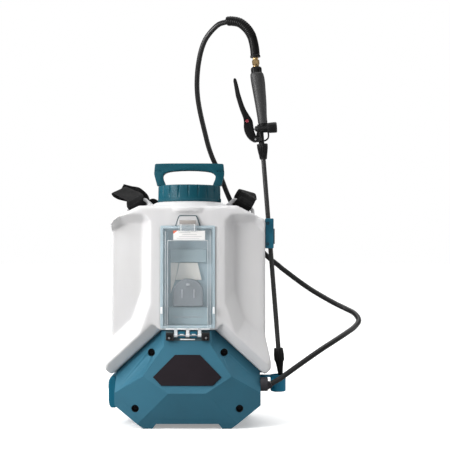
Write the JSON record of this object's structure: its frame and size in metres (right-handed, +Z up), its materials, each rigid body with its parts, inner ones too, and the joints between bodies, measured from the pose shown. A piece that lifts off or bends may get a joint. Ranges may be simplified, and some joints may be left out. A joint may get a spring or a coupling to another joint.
{
  "type": "backpack sprayer",
  "caption": "Battery backpack sprayer: upright plastic tank with screw lid, faceted base, battery door, padded shoulder straps, hose and spray lance clipped at the side.",
  "frame": {"origin": "on the floor, at the middle of the base's centre foot, under the middle of the tank's width", "axes": "+X towards the side the lance hangs on, +Y towards the wearer's back, +Z up"},
  "size_m": [0.5904, 0.3067, 0.9327],
  "materials": {
    "white_hdpe": "satin blow-moulded plastic",
    "teal_plastic": "fine textured moulded plastic",
    "bright_teal": "satin moulded plastic",
    "black_plastic": "satin moulded plastic",
    "grey_plastic": "matte moulded plastic",
    "cream_plastic": "matte moulded plastic",
    "smoke_plastic": "smooth tinted plastic",
    "clear_plastic": "clear polished plastic",
    "red_plastic": "smooth plastic",
    "rubber": "matte rubber",
    "hose_rubber": "satin black hose",
    "webbing": "woven polyester webbing",
    "padding": "padded woven fabric",
    "steel": "zinc-plated steel",
    "brass": "turned brass",
    "board_green": "varnished circuit board"
  },
  "bodies": {
    "frame": {"adapter_rail": "grey_plastic", "badge_plate": "black_plastic", "base_housing": "teal_plastic", "battery_housing": "teal_plastic", "cable_cover": "grey_plastic", "circuit_board": "board_green", "contact_plate": "cream_plastic", "control_pod": "teal_plastic", "cover_screw_1": "steel", "cover_screw_2": "steel", "cover_screw_3": "steel", "cover_screw_4": "steel", "delivery_tube": "rubber", "fill_strainer": "black_plastic", "front_cover": "teal_plastic", "hinge_block_left": "black_plastic", "hinge_block_right": "black_plastic", "hinge_pin": "steel", "hose": "hose_rubber", "hose_nut": "black_plastic", "lance_clip": "teal_plastic", "lance_cup": "bright_teal", "outlet_elbow": "black_plastic", "pressure_sensor": "steel", "pump_bracket": "black_plastic", "pump_head": "black_plastic", "pump_motor": "steel", "shoulder_pad_left": "padding", "shoulder_pad_right": "padding", "strap_anchor_left": "black_plastic", "strap_anchor_right": "black_plastic", "strap_lower_left": "webbing", "strap_lower_right": "webbing", "strap_top_left": "webbing", "strap_top_right": "webbing", "suction_filter": "black_plastic", "suction_tube": "rubber", "tank": "white_hdpe", "terminal_block": "grey_plastic"},
    "lid_seal": {"lid_gasket": "rubber"},
    "lid": {"lid_cap": "teal_plastic", "lid_handle": "teal_plastic"},
    "door": {"battery_door": "clear_plastic"},
    "latch": {"door_latch": "smoke_plastic"},
    "wand": {"grip": "black_plastic", "grip_nut": "black_plastic", "brass_fitting": "brass", "hose_guard": "black_plastic", "valve_body": "black_plastic", "lever_pin": "steel", "lance_nut": "black_plastic", "lance_tube": "black_plastic"},
    "lever": {"trigger_lever": "black_plastic"},
    "stem": {"valve_stem": "steel"},
    "lock": {"lock_button": "red_plastic"},
    "nozzle": {"nozzle_nut": "black_plastic"},
    "dial": {"pressure_dial": "black_plastic"},
    "switch": {"power_switch": "black_plastic"},
    "shaft": {"motor_shaft": "steel"}
  },
  "joints": [
    {"name": "lid_lift", "type": "slide", "parent": "frame", "child": "lid_seal", "axis": [0, 0, 1], "range_m": [0, 0.08]},
    {"name": "lid_turn", "type": "hinge", "parent": "lid_seal", "child": "lid", "pos_m": [0, 0.03, 0.52], "axis": [0, 0, 1], "range_deg": [0, 360]},
    {"name": "door_open", "type": "hinge", "parent": "frame", "child": "door", "pos_m": [0, -0.0735, 0.2045], "axis": [1, 0, 0], "range_deg": [0, 110]},
    {"name": "latch_pull", "type": "hinge", "parent": "door", "child": "latch", "pos_m": [0, -0.0745, 0.4365], "axis": [1, 0, 0], "range_deg": [0, 15], "stiffness_Nm_per_rad": 0.05},
    {"name": "lance_lift", "type": "slide", "parent": "frame", "child": "wand", "axis": [-0.0778, 0, 0.997], "range_m": [0, 0.045]},
    {"name": "lever_squeeze", "type": "hinge", "parent": "wand", "child": "lever", "pos_m": [0.15249, -0.02, 0.64574], "axis": [0, 1, 0], "range_deg": [0, 13], "stiffness_Nm_per_rad": 0.5},
    {"name": "stem_push", "type": "slide", "parent": "wand", "child": "stem", "axis": [0.997, 0, 0.0778], "range_m": [0, 0.0063]},
    {"name": "lock_press", "type": "slide", "parent": "lever", "child": "lock", "axis": [0, 1, 0], "range_m": [0, 0.003]},
    {"name": "nozzle_turn", "type": "hinge", "parent": "wand", "child": "nozzle", "pos_m": [0.2085, -0.02, 0.118], "axis": [-0.0778, 0, 0.997], "range_deg": [0, 180]},
    {"name": "dial_turn", "type": "hinge", "parent": "frame", "child": "dial", "pos_m": [-0.178, 0, 0.085], "axis": [1, 0, 0], "range_deg": [0, 270]},
    {"name": "switch_rock", "type": "hinge", "parent": "frame", "child": "switch", "pos_m": [-0.175, 0, 0.055], "axis": [0, 1, 0], "range_deg": [0, 12]},
    {"name": "motor_spin", "type": "hinge", "parent": "frame", "child": "shaft", "pos_m": [0, 0.04, 0.056], "axis": [1, 0, 0], "continuous": true}
  ],
  "couplings": [
    {"joint": "stem_push", "follows": "lever_squeeze", "m_per_rad": 0.0253}
  ]
}
